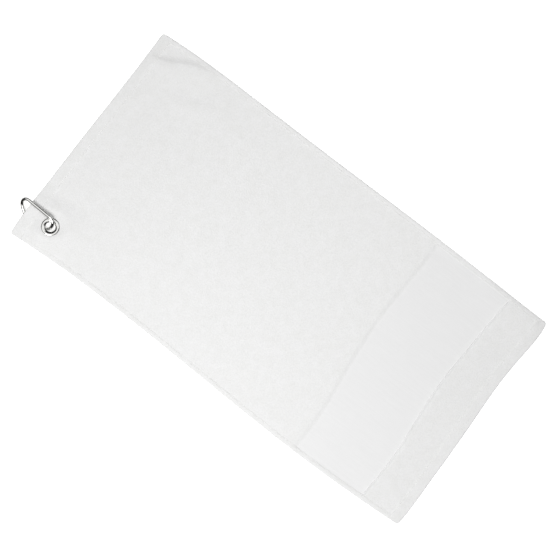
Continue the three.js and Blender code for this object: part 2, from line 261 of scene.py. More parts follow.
def plainWeave():
    # White cotton plain weave, flat and close. The real threads are about 0.45 mm apart, drawn at
    # 0.9 mm so that the over-and-under of warp and weft shows.
    s = weaveSettings
    material, tree, shader = newMaterial("cotton plain weave, flat band", {
        "Roughness": 0.82, "Sheen Weight": 0.06, "Sheen Roughness": 0.5, "Specular IOR Level": 0.25})
    place = objectCoordinates(tree, [s["threadSpacing"]] * 3)
    parts = addNode(tree, "ShaderNodeSeparateXYZ", links={"Vector": place.outputs[0]})
    waves = []
    for axis in ("X", "Y"):
        angle = addNode(tree, "ShaderNodeMath", {"operation": "MULTIPLY"}, {1: math.pi},
                        {0: parts.outputs[axis]})
        waves.append(addNode(tree, "ShaderNodeMath", {"operation": "SINE"}, links={0: angle.outputs[0]}))
    over = addNode(tree, "ShaderNodeMath", {"operation": "MULTIPLY"},
                   links={0: waves[0].outputs[0], 1: waves[1].outputs[0]})
    slub = addNode(tree, "ShaderNodeTexNoise", inputs={"Scale": 1.0, "Detail": 3.0},
                   links={"Vector": objectCoordinates(tree, s["slubSize"]).outputs[0]})
    height = addNode(tree, "ShaderNodeMath", {"operation": "ADD"},
                     links={0: over.outputs[0], 1: slub.outputs["Fac"]})
    tint = addNode(tree, "ShaderNodeMix", {"data_type": "RGBA"},
                   {"A": linearColour(s["light"]), "B": linearColour(s["shade"])},
                   {"Factor": slub.outputs["Fac"]})
    tree.links.new(tint.outputs["Result"], shader.inputs["Base Color"])
    bump = addNode(tree, "ShaderNodeBump", inputs={"Strength": 1.0, "Distance": s["depth"] * mm},
                   links={"Height": height.outputs[0]})
    tree.links.new(bump.outputs["Normal"], shader.inputs["Normal"])
    return material


threadSettings = {"colour": "#f2f2f0", "plyAngle": 35, "plyScale": 2.0, "plyDepth": 0.06}


def sewingThread():
    # Spun polyester sewing thread: white, a soft gleam, its plies twisted round each other.
    s = threadSettings
    material, tree, shader = newMaterial("spun polyester sewing thread", {
        "Base Color": linearColour(s["colour"]), "Roughness": 0.55, "Sheen Weight": 0.1})
    place = addNode(tree, "ShaderNodeTexCoord")
    twist = addNode(tree, "ShaderNodeMapping", inputs={"Rotation": (0, 0, math.radians(s["plyAngle"]))},
                    links={"Vector": place.outputs["UV"]})
    plies = addNode(tree, "ShaderNodeTexWave", {"wave_type": "BANDS", "bands_direction": "X"},
                    {"Scale": s["plyScale"], "Distortion": 0.4}, {"Vector": twist.outputs[0]})
    bump = addNode(tree, "ShaderNodeBump", inputs={"Strength": 0.6, "Distance": s["plyDepth"] * mm},
                   links={"Height": plies.outputs["Fac"]})
    tree.links.new(bump.outputs["Normal"], shader.inputs["Normal"])
    return material


metalSettings = {"hazeSpacing": 2.5, "rippleDepth": 0.02}


def smoothMetal(name, colour, roughness, wear):
    # Plated or drawn metal: it mirrors as sharply as its roughness lets it, with a faint haze of
    # handling marks in its gloss.
    s = metalSettings
    material, tree, shader = newMaterial(name, {"Base Color": linearColour(colour), "Metallic": 1.0})
    haze = addNode(tree, "ShaderNodeTexNoise", inputs={"Scale": 1.0, "Detail": 5.0, "Roughness": 0.7},
                   links={"Vector": objectCoordinates(tree, [s["hazeSpacing"]] * 3).outputs[0]})
    gloss = addNode(tree, "ShaderNodeMapRange", links={"Value": haze.outputs["Fac"]}, inputs={
        "From Min": 0.3, "From Max": 0.7, "To Min": roughness, "To Max": roughness + wear})
    tree.links.new(gloss.outputs["Result"], shader.inputs["Roughness"])
    ripple = addNode(tree, "ShaderNodeBump", inputs={"Strength": 0.25, "Distance": s["rippleDepth"] * mm},
                     links={"Height": haze.outputs["Fac"]})
    tree.links.new(ripple.outputs["Normal"], shader.inputs["Normal"])
    return material


terry = terryCotton("cotton terry, loop pile", 1.0)
# A copy of the terry at 0.99 of its brightness for the end strip and the border hem: painted shade, so the
# cloth lies a little darker towards the border end.
shadedEndTerry = terryCotton("cotton terry, loop pile, painted darker as shade", 0.99)
weave = plainWeave()
thread = sewingThread()
# Nickel plate on polished steel is nearly a mirror. Drawn spring steel is greyer and duller.
nickel = smoothMetal("bright nickel plate, polished steel", "#c9c9c7", 0.05, 0.05)
steel = smoothMetal("spring steel, drawn wire", "#8f9092", 0.30, 0.12)
print("materials done")


# How the cloth lies

cloth = {
    "length": 600, "width": 314,
    "terryThickness": 2.4, "bandThickness": 1.2, "hemThickness": 3.0, "bandHemThickness": 2.2,
    "bandStart": 137, "bandEnd": 242,
    "endHem": 16, "longHem": 7, "endStitch": 14, "longStitch": 5.6, "longHemFade": 0.6,
    "foldRounding": 1.7, "cornerRounding": 3.5, "clearance": 0.05,
    "pileSlope": 6.5, "pileEdge": 1.4,                                # where the pile meets the band
    "tightDepth": 0.45, "tightAt": 3.0, "tightWidth": 1.3,            # the row pulled tight beyond it
    "loopRelief": 0.06, "loopCell": 2.3, "tuftCell": 8.0,
    "pressedFrom": 40, "pressedTo": 60, "pressedShare": 0.8,          # from the eyelet's centre
    "pullUpper": 0.45, "pullUnder": 0.40, "pullWidth": 0.9, "pullCell": 4.5,    # at the stitches
    "pullMean": 0.85, "pullSpread": 0.25, "flattened": 0.6,
    "endPullFade": (2.0, 4.0), "longPullFade": (-0.5, 1.0),           # from the side, from the end hem
    "dent": (-300.5, -137.6), "dentDepth": 0.8, "dentSize": 5.5,      # beneath the hem, for the hook
    "broadWave": 0.55, "broadCell": 70, "smallWave": 0.22, "smallCell": 26,
    "waveFrom": 40, "waveTo": 90,                                     # from the eyelet's centre
}
halfLength = cloth["length"] / 2
halfWidth = cloth["width"] / 2

eyelet = {
    "x": -265.2, "y": -122.1, "z": 7.453, "tilt": 13,
    "radius": 11.5, "clamped": 1.1, "hole": 8.3, "segments": 96, "perPoint": 4,
    "gripFade": (1, 13), "clampFade": (-0.3, 2.2),                    # beyond the radius
    "cornerLift": 6.3, "edgeDrop": 0.45,                              # a height, and a share of it
    "alongFade": (-4, 64), "acrossFade": (4, 42), "dropEnd": -16,     # from the eyelet's centre
}

# How far each edge and seam strays from a straight line, in mm, at a few places along it. A smooth
# polynomial of the given degree runs through them, or near them where they are more than it needs.
strays = {
    "upper": (5, [(-300, -2.5), (-180, 1.5), (-60, 0.5), (60, 0.5), (180, -0.5), (300, -2.5)]),
    "lower": (6, [(-300, -1.5), (-240, 2), (-180, 3), (-60, 0.5), (60, -4), (180, -5.5), (300, -0.5)]),
    "left": (4, [(-157, -1), (-80, -2), (0, -1), (80, 0.5), (157, 0.5)]),
    "right": (6, [(-157, 2), (-110, 3), (-60, 2), (0, 0), (45, -2), (110, 0), (157, -1)]),
    "bandStart": (5, [(-150, 7.5), (-110, 8.0), (-70, 4.0), (-30, 0.0), (10, -4.0), (40, -5.5), (70, -5.0),
                      (110, -3.0), (150, -3.0)]),
    "bandEnd": (6, [(-150, 3.0), (-110, 4.5), (-70, 3.0), (-30, -0.5), (30, -4.0), (70, -2.0), (110, -0.5),
                    (150, 3.0)]),
}
stray = {name: np.polynomial.Polynomial.fit(*np.transpose(points), degree)
         for name, (degree, points) in strays.items()}


def layOut(u, v):
    # Flat place (u, v) to place on the floor. Corners are rounded by mapping the square at each to a
    # quarter disc, then every point moves with the edges' and seams' strays, in proportion to how
    # near it is to each.
    r = cloth["cornerRounding"]
    p = np.clip(1 - (halfLength - np.abs(u)) / r, 0, 1)
    q = np.clip(1 - (halfWidth - np.abs(v)) / r, 0, 1)
    u = u - np.sign(u) * r * p * (1 - np.sqrt(1 - q * q / 2))
    v = v - np.sign(v) * r * q * (1 - np.sqrt(1 - p * p / 2))
    stations = [-halfLength, cloth["bandStart"], cloth["bandEnd"], halfLength]
    shift = 0
    for i, name in enumerate(("left", "bandStart", "bandEnd", "right")):
        shift = shift + np.interp(u, stations, np.eye(4)[i]) * stray[name](v)
    share = (v + halfWidth) / cloth["width"]
    return u + shift, v + share * stray["upper"](u) + (1 - share) * stray["lower"](u)


def lift(x, y):
    # Height of the underside over the floor, the same rule as the frame's: flat but for the corner
    # that rests on the hook, and tilted with the eyelet where that grips it.
    ex, ey = eyelet["x"], eyelet["y"]
    along = 1 - smoothstep(*eyelet["alongFade"], x - ex)
    across = 1 - smoothstep(*eyelet["acrossFade"], y - ey)
    drop = 1 - eyelet["edgeDrop"] * (1 - smoothstep(-halfWidth, ey + eyelet["dropEnd"], y))
    draped = eyelet["cornerLift"] * along * across * drop
    plane = eyelet["z"] - cloth["terryThickness"] / 2 - (y - ey) * math.tan(math.radians(eyelet["tilt"]))
    grip = 1 - smoothstep(*eyelet["gripFade"], np.hypot(x - ex, y - ey) - eyelet["radius"])
    return draped + (plane - draped) * grip


def valueNoise(x, y, cell, seed):
    # Random heights from -1 to 1 on a lattice of square cells, joined by smoothstep weights. The
    # middle of the cloth lies near the middle of the lattice.
    size, middle = 1024, 500
    table = np.random.default_rng(seed).uniform(-1, 1, (size, size))
    gx, gy = x / cell + middle, y / cell + middle
    ix, iy = np.floor(gx).astype(int), np.floor(gy).astype(int)
    fx, fy = smoothstep(0, 1, gx - ix), smoothstep(0, 1, gy - iy)
    low = table[iy, ix] * (1 - fx) + table[iy, ix + 1] * fx
    high = table[iy + 1, ix] * (1 - fx) + table[iy + 1, ix + 1] * fx
    return low * (1 - fy) + high * fy


# Creases pressed into the cloth, in mm: a ridge along a few points, gentle on its right-hand side and
# steeper on its left.
creases = [
    {"points": [(-308, 118), (-285, 122), (-270, 128), (-257, 136), (-244, 143), (-226, 148), (-200, 151)],
     "height": 2.8, "gentle": 24, "steep": 6, "fade": 32},
    {"points": [(-252, 86), (-232, 98), (-212, 106), (-180, 116)],
     "height": 1.2, "gentle": 20, "steep": 8, "fade": 25},
    {"points": [(-304, 44), (-280, 70), (-254, 92)],
     "height": 0.35, "gentle": 20, "steep": 10, "fade": 25},
    {"points": [(-160, 102), (-130, 110), (-100, 116)],
     "height": 0.35, "gentle": 15, "steep": 8, "fade": 20},
    {"points": [(-250, -118), (-228, -132), (-205, -146)],
     "height": 0.5, "gentle": 14, "steep": 8, "fade": 20},
    {"points": [(196, 150), (240, 146), (312, 144)],
     "height": 2.4, "gentle": 28, "steep": 8, "fade": 26},
    {"points": [(250, -118), (270, -126), (300, -138)],
     "height": 0.5, "gentle": 12, "steep": 8, "fade": 15},
]


def ridge(x, y, points, height, gentle, steep, fade):
    # Distance to the nearest point of a polyline, signed by side. The height falls off as a bell that
    # is wide on the right-hand side and narrow on the left, and fades out towards both ends.
    path = np.array(points, dtype=float)
    run = np.concatenate([[0], np.cumsum(np.hypot(*np.diff(path, axis=0).T))])
    best = np.full(np.shape(x), 1e9)
    side = np.zeros(np.shape(x))
    at = np.zeros(np.shape(x))
    for i in range(len(path) - 1):
        step = path[i + 1] - path[i]
        t = np.clip(((x - path[i, 0]) * step[0] + (y - path[i, 1]) * step[1]) / step.dot(step), 0, 1)
        dx, dy = x - path[i, 0] - t * step[0], y - path[i, 1] - t * step[1]
        distance = np.hypot(dx, dy)
        nearer = distance < best
        best = np.where(nearer, distance, best)
        side = np.where(nearer, np.sign(step[0] * dy - step[1] * dx), side)
        at = np.where(nearer, run[i] + t * (run[i + 1] - run[i]), at)
    width = np.where(side > 0, steep, gentle)
    ends = smoothstep(0, fade, at) * (1 - smoothstep(run[-1] - fade, run[-1], at))
    return height * np.exp(-(best / width) ** 2) * ends


def sway(x, y):
    # The cloth's slow rise and fall over the floor: broad and small waves of value noise, and creases.
    # It fades out where the corner rests on the hook.
    height = cloth["broadWave"] * (valueNoise(x, y, cloth["broadCell"], 3) + 1) / 2 \
        + cloth["smallWave"] * (valueNoise(x, y, cloth["smallCell"], 4) + 1) / 2
    for crease in creases:
        height = height + ridge(x, y, **crease)
    free = smoothstep(cloth["waveFrom"], cloth["waveTo"], np.hypot(x - eyelet["x"], y - eyelet["y"]))
    return height * free


def thickness(u, v):
    # The cloth's thickness when flat: pile on both faces, but none in the band. The pile slopes down
    # to the band as a smoothstep on the eyelet side, and as a quarter circle after a tight row on the
    # border side. A margin is doubled as far as its stitches.
    inBand = (u > cloth["bandStart"]) & (u < cloth["bandEnd"])
    fromBand = np.where(u <= cloth["bandStart"], cloth["bandStart"] - u, u - cloth["bandEnd"])
    pile = cloth["terryThickness"] - cloth["bandThickness"]
    onField = u < cloth["bandStart"]
    rounded = np.sqrt(1 - np.clip(1 - np.clip(fromBand, 0, None) / cloth["pileEdge"], 0, 1) ** 2)
    slope = np.where(onField, smoothstep(0, cloth["pileSlope"], fromBand), rounded)
    tight = np.where(onField, 0, cloth["tightDepth"]) \
        * np.exp(-((fromBand - cloth["tightAt"]) / cloth["tightWidth"]) ** 2)
    single = cloth["bandThickness"] + np.where(inBand, 0, pile * slope - tight)
    doubled = np.where(inBand, cloth["bandHemThickness"], cloth["hemThickness"])
    fromEnd, fromSide = halfLength - np.abs(u), halfWidth - np.abs(v)
    longStop = cloth["longHem"] + cloth["longHemFade"]
    margin = np.maximum(1 - smoothstep(cloth["endStitch"], cloth["endHem"], fromEnd),
                        1 - smoothstep(cloth["longStitch"], longStop, fromSide))
    return single + (doubled - single) * margin


def grooves(u, v):
    # How deep the stitches pull the cloth in: about 1 at a seam and nothing 2 mm from it, deeper at
    # some stitches than at others. The long seams stop at the end hems, the end seams near the sides.
    fromEnd, fromSide = halfLength - np.abs(u), halfWidth - np.abs(v)
    endRow = np.exp(-((fromEnd - cloth["endStitch"]) / cloth["pullWidth"]) ** 2) \
        * smoothstep(*cloth["endPullFade"], fromSide)
    longRow = np.exp(-((fromSide - cloth["longStitch"]) / cloth["pullWidth"]) ** 2) \
        * smoothstep(*cloth["longPullFade"], fromEnd - cloth["endHem"])
    uneven = cloth["pullMean"] + cloth["pullSpread"] * valueNoise(u, v, cloth["pullCell"], 11)
    return np.maximum(endRow, longRow) * uneven


def clothFace(u, v, face):
    # Points of the upper face (face 1) or the underside (face -1) at flat places (u, v): the laid-out
    # place, and the lift, sway, thickness, grooves and loop relief added up in height. The relief is
    # pressed nearly flat round the hook, and a bell-shaped dent beneath takes the hook's wire when it
    # swings under the hem. Both faces keep a small clearance, and curve together into the outer fold
    # as a half ellipse.
    x, y = layOut(u, v)
    fromEnd, fromSide = halfLength - np.abs(u), halfWidth - np.abs(v)
    nearest = np.clip(np.minimum(fromEnd, fromSide) / cloth["foldRounding"], 0, 1)
    closing = np.sqrt(1 - (1 - nearest) ** 2)
    thick = thickness(u, v)
    pulled = grooves(u, v)
    inBand = smoothstep(cloth["bandStart"] - 1, cloth["bandStart"], u) \
        * (1 - smoothstep(cloth["bandEnd"], cloth["bandEnd"] + 1, u))
    pile = cloth["loopRelief"] * (valueNoise(u, v, cloth["loopCell"], 21 + face)
                                  + valueNoise(u, v, cloth["tuftCell"], 31 + face))
    fromEyelet = np.hypot(x - eyelet["x"], y - eyelet["y"])
    pressed = 1 - smoothstep(cloth["pressedFrom"], cloth["pressedTo"], fromEyelet)
    relief = pile * (1 - inBand) * (1 - cloth["flattened"] * pulled) * (1 - cloth["pressedShare"] * pressed)
    free = smoothstep(*eyelet["clampFade"], fromEyelet - eyelet["radius"])
    half = (eyelet["clamped"] + (thick - eyelet["clamped"]) * free) / 2
    pull = (cloth["pullUpper"] if face > 0 else cloth["pullUnder"]) * pulled
    fromDent = np.hypot(x - cloth["dent"][0], y - cloth["dent"][1]) / cloth["dentSize"]
    pull = pull + (cloth["dentDepth"] * np.exp(-fromDent ** 2) if face < 0 else 0)
    height = thick / 2 + face * (half - pull + relief * free - cloth["clearance"]) * closing
    return np.stack([x, y, lift(x, y) + sway(x, y) + height + cloth["clearance"]], axis=-1)


def slabPiece(name, us, vs, material, keep=None):
    # A closed slab over the grid of flat lines us by vs. Quads cover the kept cells of both faces, and
    # wherever a kept cell has no kept neighbour a wall joins the two faces.
    u, v = np.meshgrid(us, vs)
    points = np.concatenate([clothFace(u, v, 1).reshape(-1, 3), clothFace(u, v, -1).reshape(-1, 3)])
    rows, columns = u.shape
    index = np.arange(rows * columns).reshape(rows, columns)
    a, b, c, d = index[:-1, :-1], index[:-1, 1:], index[1:, 1:], index[1:, :-1]
    kept = np.ones(a.shape, dtype=bool) if keep is None else keep(*layOut(
        (u[:-1, :-1] + u[1:, 1:]) / 2, (v[:-1, :-1] + v[1:, 1:]) / 2))
    under = rows * columns
    faces = [np.stack([a, b, c, d], -1)[kept], np.stack([d, c, b, a], -1)[kept] + under]
    ring = np.pad(kept, 1)
    for start, stop, beside in ((a, b, ring[:-2, 1:-1]), (b, c, ring[1:-1, 2:]),
                                (c, d, ring[2:, 1:-1]), (d, a, ring[1:-1, :-2])):
        edge = kept & ~beside
        faces.append(np.stack([start[edge] + under, stop[edge] + under, stop[edge], start[edge]], -1))
    faces = np.concatenate(faces)
    used = np.unique(faces)
    compact = np.zeros(len(points), dtype=int)
    compact[used] = np.arange(len(used))
    flat = np.stack([np.tile(u.ravel(), 2), np.tile(v.ravel(), 2)], -1) * mm
    piece = makePiece(name, points[used], compact[faces].tolist(), material, uv=flat[used])
    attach(piece, "towel")
    return piece


def evenLines(start, stop, step):
    # Lines from start to stop, evenly apart by as near to step as they come out.
    return np.linspace(start, stop, max(2, round(abs(stop - start) / step) + 1))


# Where the cloth's grid has its lines: even steps, and closer together where it curves
grid = {
    "step": 1.7, "bandStep": 2.1, "hemStep": 1.3, "seamStep": 0.45,
    "fold": [0, 0.06, 0.22, 0.5, 0.85, 1.25, 1.7],                                # from an edge
    "longHemFrom": 2.4, "endHemFrom": 2.6, "endSeamFrom": 12,                     # from an edge
    "pileEdge": [7, 5.8, 4.8, 3.9, 3.0, 2.2, 1.4, 0.9, 0.5, 0.2, 0.05, 0],        # from the band
}
endInner = halfLength - cloth["endHem"]
longInner = halfWidth - cloth["longHem"]
pileEdge = np.array(grid["pileEdge"])
fieldU = np.concatenate([evenLines(-endInner, cloth["bandStart"] - pileEdge[0], grid["step"])[:-1],
                         cloth["bandStart"] - pileEdge])
bandU = evenLines(cloth["bandStart"], cloth["bandEnd"], grid["bandStep"])
stripU = np.concatenate([cloth["bandEnd"] + pileEdge[::-1],
                         evenLines(cloth["bandEnd"] + pileEdge[0], endInner, grid["step"])[1:]])
innerV = evenLines(-longInner, longInner, grid["step"])
longHemV = halfWidth - np.concatenate([
    grid["fold"], evenLines(grid["longHemFrom"], cloth["longHem"], grid["seamStep"])])
endHemU = halfLength - np.concatenate([
    grid["fold"], evenLines(grid["endHemFrom"], grid["endSeamFrom"], grid["hemStep"])[:-1],
    evenLines(grid["endSeamFrom"], cloth["endHem"], grid["seamStep"])])
allV = np.concatenate([-longHemV, innerV[1:-1], longHemV[::-1]])
allU = np.concatenate([fieldU, bandU[1:], stripU[1:]])


def awayFromHole(x, y):
    # True outside the hole that the eyelet goes through.
    return np.hypot(x - eyelet["x"], y - eyelet["y"]) > eyelet["hole"]


fieldCloth = slabPiece("pileCloth_field", fieldU, innerV, terry, keep=awayFromHole)
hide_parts("terry_field")
bandCloth = slabPiece("flatWeave_band", bandU, innerV, weave)
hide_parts("flat_border")
stripCloth = slabPiece("pileCloth_endStrip", stripU, innerV, shadedEndTerry)
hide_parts("terry_end_strip")
eyeletHem = slabPiece("turnedHem_eyeletEnd", -endHemU, allV, terry)
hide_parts("eyelet_end_hem")
borderHem = slabPiece("turnedHem_borderEnd", endHemU[::-1], allV, shadedEndTerry)
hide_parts("border_end_hem")
upperHem = slabPiece("turnedHem_upper", allU, longHemV[::-1], terry)
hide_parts("long_hem_upper")
lowerHem = slabPiece("turnedHem_lower", allU, -longHemV, terry)
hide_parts("long_hem_lower")
print("cloth done:", [(p.name, len(p.data.polygons)) for p in (fieldCloth, bandCloth, upperHem)])


# Seams

seam = {
    "pitch": 3.0, "width": 0.55, "thick": 0.38, "above": 0.10, "sides": 6,
    "plunge": 0.9, "holeShare": 0.075,                                # the share is of the pitch
    "wander": 0.07, "wanderCell": 6,
    "endMargin": 3.5, "longMargin": 1.5,                              # bare at both ends of a seam
}


def tube(path, across, widths, sides):
    # An elliptical section carried along a path. across is the section's first axis, and the second
    # is square to it and to the path's heading. One flat face closes each end.
    heading = np.gradient(path, axis=0)
    heading /= np.linalg.norm(heading, axis=1, keepdims=True)
    across = across - heading * np.sum(across * heading, axis=1, keepdims=True)
    across /= np.linalg.norm(across, axis=1, keepdims=True)
    up = np.cross(heading, across)
    angle = np.arange(sides) / sides * 2 * math.pi
    ring = (path[:, None] + across[:, None] * np.cos(angle)[None, :, None] * widths[0]
            + up[:, None] * np.sin(angle)[None, :, None] * widths[1])
    points = ring.reshape(-1, 3)
    index = np.arange(len(path) * sides).reshape(len(path), sides)
    nextSide = np.roll(index, -1, axis=1)
    quads = np.stack([index[:-1], nextSide[:-1], nextSide[1:], index[1:]], -1).reshape(-1, 4).tolist()
    return points, quads + [index[0].tolist(), index[-1][::-1].tolist()]


def seamThread(name, node, start, stop, face):
    # A lockstitch thread from one flat place to another. It lies on the cloth between needle holes
    # and dives into each hole, as a narrow bell in height.
    s = seam
    start, stop = np.array(start, dtype=float), np.array(stop, dtype=float)
    run = np.linalg.norm(stop - start)
    stitches = int(run // s["pitch"])
    phase = np.array([0, 0.05, 0.12, 0.25, 0.5, 0.75, 0.88, 0.95])   # closer together at the holes
    t = np.append((np.arange(stitches)[:, None] + phase).ravel(), stitches) / stitches
    place = start + (stop - start) * t[:, None]
    toHole = np.abs(t * stitches - np.round(t * stitches))
    path = clothFace(place[:, 0], place[:, 1], face)
    wander = s["wander"] * valueNoise(place[:, 0], place[:, 1], s["wanderCell"], 41)
    height = s["above"] + s["thick"] / 2 - s["plunge"] * np.exp(-(toHole / s["holeShare"]) ** 2)
    path[:, 2] += face * height
    direction = (stop - start) / run
    side = np.array([-direction[1], direction[0], 0])
    path += side * wander[:, None]
    points, faces = tube(path, np.tile(side, (len(path), 1)), (s["width"] / 2, s["thick"] / 2),
                         s["sides"])
    around = np.tile(np.arange(s["sides"]) / s["sides"], len(path))
    uv = np.stack([np.repeat(t * run / s["width"], s["sides"]), around], -1)
    piece = makePiece(name, points, faces, thread, uv=uv, sharpAngle=80)
    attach(piece, "towel")
    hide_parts(node)
    return piece


threads = []
endSeam, longSeam = halfLength - cloth["endStitch"], halfWidth - cloth["longStitch"]
seamU, seamV = endInner - seam["longMargin"], halfWidth - seam["endMargin"]
seams = {
    "eyelet_end": ((-endSeam, -seamV), (-endSeam, seamV)),
    "border_end": ((endSeam, -seamV), (endSeam, seamV)),
    "upper": ((-seamU, longSeam), (seamU, longSeam)),
    "lower": ((-seamU, -longSeam), (seamU, -longSeam)),
}
for label, (start, stop) in seams.items():
    threads.append(seamThread(f"stitches_{label}", f"needle_thread_{label}", start, stop, 1))
    threads.append(seamThread(f"lockingThread_{label}", f"bobbin_thread_{label}", start, stop, -1))
print("seams done:", sum(len(p.data.polygons) for p in threads))


# Eyelet

def placeIn(points, centre, tilt):
    # Points turned by tilt degrees about the X axis, then moved to a centre.
    c, s = math.cos(math.radians(tilt)), math.sin(math.radians(tilt))
    turnX = np.array([[1, 0, 0], [0, c, -s], [0, s, c]])
    return np.asarray(points) @ turnX.T + np.array(centre)


def closedCurve(corners, each):
    # A smooth loop through the corners, by Catmull-Rom: on each stretch the cubic whose slope at a
    # corner is half the chord between its neighbours.
    p = np.array(corners, dtype=float)
    before, after, beyond = np.roll(p, 1, 0), np.roll(p, -1, 0), np.roll(p, -2, 0)
    t = (np.arange(each) / each)[None, :, None]
    a, b, c, d = (q[:, None] for q in (before, p, after, beyond))
    square = (2 * a - 5 * b + 4 * c - d) * t ** 2
    cube = (3 * b - a - 3 * c + d) * t ** 3
    return (0.5 * (2 * b + (c - a) * t + square + cube)).reshape(-1, 2)


def turnedRing(name, node, outline):
    # A closed outline of radius and height, turned about the eyelet's own axis.
    profile = closedCurve(outline, eyelet["perPoint"])
    segments = eyelet["segments"]
    angle = np.arange(segments) / segments * 2 * math.pi
    points = np.stack([profile[None, :, 0] * np.cos(angle)[:, None],
                       profile[None, :, 0] * np.sin(angle)[:, None],
                       np.broadcast_to(profile[:, 1], (segments, len(profile)))], -1).reshape(-1, 3)
    index = np.arange(segments * len(profile)).reshape(segments, len(profile))
    around, onwards = np.roll(index, -1, 0), np.roll(index, -1, 1)
    both = np.roll(around, -1, 1)
    faces = np.stack([index, around, both, onwards], -1).reshape(-1, 4).tolist()
    piece = makePiece(name, placeIn(points, (eyelet["x"], eyelet["y"], eyelet["z"]), -eyelet["tilt"]),
                      faces, nickel, sharpAngle=60)
    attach(piece, "towel")
    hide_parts(node)


# Each outline is radius and height over the middle of the cloth, in mm: the barrel with its rolled
# lower end and its flange, and the washer that the roll holds
ringOutlines = {
    "barrel": [
        (6.0, -1.0), (6.3, -1.55), (6.9, -1.82), (7.55, -1.78), (7.9, -1.45), (7.5, -1.28),
        (6.9, -1.2), (6.48, -0.8), (6.5, 0.1), (6.85, 0.5), (7.8, 0.78), (9.4, 0.82),
        (11.0, 0.8), (11.46, 0.92), (11.4, 1.2), (11.0, 1.52), (10.3, 1.78), (9.5, 1.84),
        (8.6, 1.72), (7.6, 1.38), (6.7, 0.92), (6.15, 0.4), (6.0, -0.2)],
    "washer": [
        (6.85, -0.9), (8.1, -1.05), (8.5, -1.45), (9.4, -1.6), (10.5, -1.45), (11.25, -1.12),
        (11.4, -0.9), (11.0, -0.8), (9.0, -0.8), (7.2, -0.8)],
}
turnedRing("eyelet_flangedHalf", "eyelet_barrel", ringOutlines["barrel"])
turnedRing("eyelet_ringWasher", "eyelet_washer", ringOutlines["washer"])
print("eyelet done")


# Spring hook: flat route of the wire in the hook's own plane, x away from the large end, y towards
# the spine, and the origin where the wire passes through the eyelet. The wire, its bends, the gate,
# bore, rivet and head are given by radius.

hook = {
    "place": (-264.2, -120.9, 7.1764), "tilt": 28, "sides": 32, "sharpAngle": 38,
    "wire": 2.2, "smallEnd": 9.2, "reach": 48.2, "flare": 10.8, "corner": 6, "noseDrop": 10.6,
    "largeEnd": 15, "largeFrom": 293, "noseHeading": 319, "nose": 5, "noseTip": 1.2, "gateSlope": 6,
    "gate": 1.8, "gateRounding": 0.35, "gap": 0.3, "edge": 0.05, "overcut": 1, "drillReach": 3,
    "forkBack": 1.9, "slotEnd": 2.9, "slotWidth": 5, "bore": 1.15, "boreEnd": 13,
    "tongue": 0.7,                                                    # half of its thickness
    "tongueSize": (5.6, 3.2), "tongueAt": -0.8,                       # from the rivet
    "rivet": 0.7, "rivetBack": 4.2, "shoulder": 3.1, "rivetReach": 0.4,
    "head": 1.2, "headThickness": 0.5, "headRounding": 0.18, "headGap": 0.15,
    "latch": (2.6, 1.8, 1.3), "latchAt": (0.2, -0.5),                 # from the gate's tip
    "latchSlot": (3.2, 4, 2), "latchSlotAt": (0.9, -1.3),             # from the gate's tip
}


def along(heading):
    # The unit step in a heading, in radians from +x towards +y.
    return np.array([math.cos(heading), math.sin(heading)])


def arc(start, fromHeading, toHeading, radius, count):
    # An arc to the left from one heading to another.
    centre = start + radius * along(fromHeading + math.pi / 2)
    angle = np.linspace(fromHeading, toHeading, count) - math.pi / 2
    return centre + radius * np.stack([np.cos(angle), np.sin(angle)], -1)


def hookRoute(h):
    # The wire's middle line: small end, spine, large end, slant and nose, each a line or an arc that
    # starts where the last one ended with the same heading. Also the rivet's place, and the gate's
    # heading and length from there.
    small = np.array([-h["smallEnd"], 0.0])
    spineRun = h["reach"] - h["smallEnd"] - h["corner"]
    spineHeading = math.pi - math.atan2(h["flare"] - h["smallEnd"], spineRun)
    largeFrom, noseHeading = math.radians(h["largeFrom"]), math.radians(h["noseHeading"])
    gateSlope = math.radians(h["gateSlope"])
    spineStart = small + h["smallEnd"] * along(spineHeading - math.pi / 2)
    spineEnd = spineStart + spineRun * along(spineHeading)
    corner = arc(spineEnd, spineHeading, largeFrom, h["corner"], 28)
    large = arc(corner[-1], largeFrom, noseHeading, h["largeEnd"], 12)
    noseTurn = h["nose"] * (1 - math.cos(2 * math.pi - noseHeading))
    slant = (large[-1][1] + h["noseDrop"] - noseTurn) / -math.sin(noseHeading)
    noseStart = large[-1] + slant * along(noseHeading)
    nose = arc(noseStart, noseHeading, 2 * math.pi + gateSlope, h["nose"], 14)
    tip = nose[-1] + h["noseTip"] * along(gateSlope)
    hingeSide = small + h["smallEnd"] * along(gateSlope - math.pi / 2)
    towards = (hingeSide - tip) / np.linalg.norm(hingeSide - tip)
    rivet = hingeSide - h["rivetBack"] * towards
    shoulder = rivet + h["shoulder"] * towards
    around = arc(hingeSide, gateSlope, spineHeading, h["smallEnd"], 48)
    spine = spineStart + (spineEnd - spineStart) * np.linspace(0, 1, 30)[1:-1, None]
    slanted = large[-1] + (noseStart - large[-1]) * np.linspace(0, 1, 6)[1:-1, None]
    route = np.concatenate([[shoulder], around, spine, corner, large[1:], slanted, nose, [tip]])
    return route, rivet, math.atan2(-towards[1], -towards[0]), np.linalg.norm(rivet - tip) - h["gap"]


def closedMesh(points, faces):
    # A closed mesh in millimetres in its own frame, kept only until it is joined or cut.
    mesh = bpy.data.meshes.new("work")
    mesh.from_pydata(np.asarray(points).tolist(), [], faces)
    turnOutwards(mesh)
    return mesh


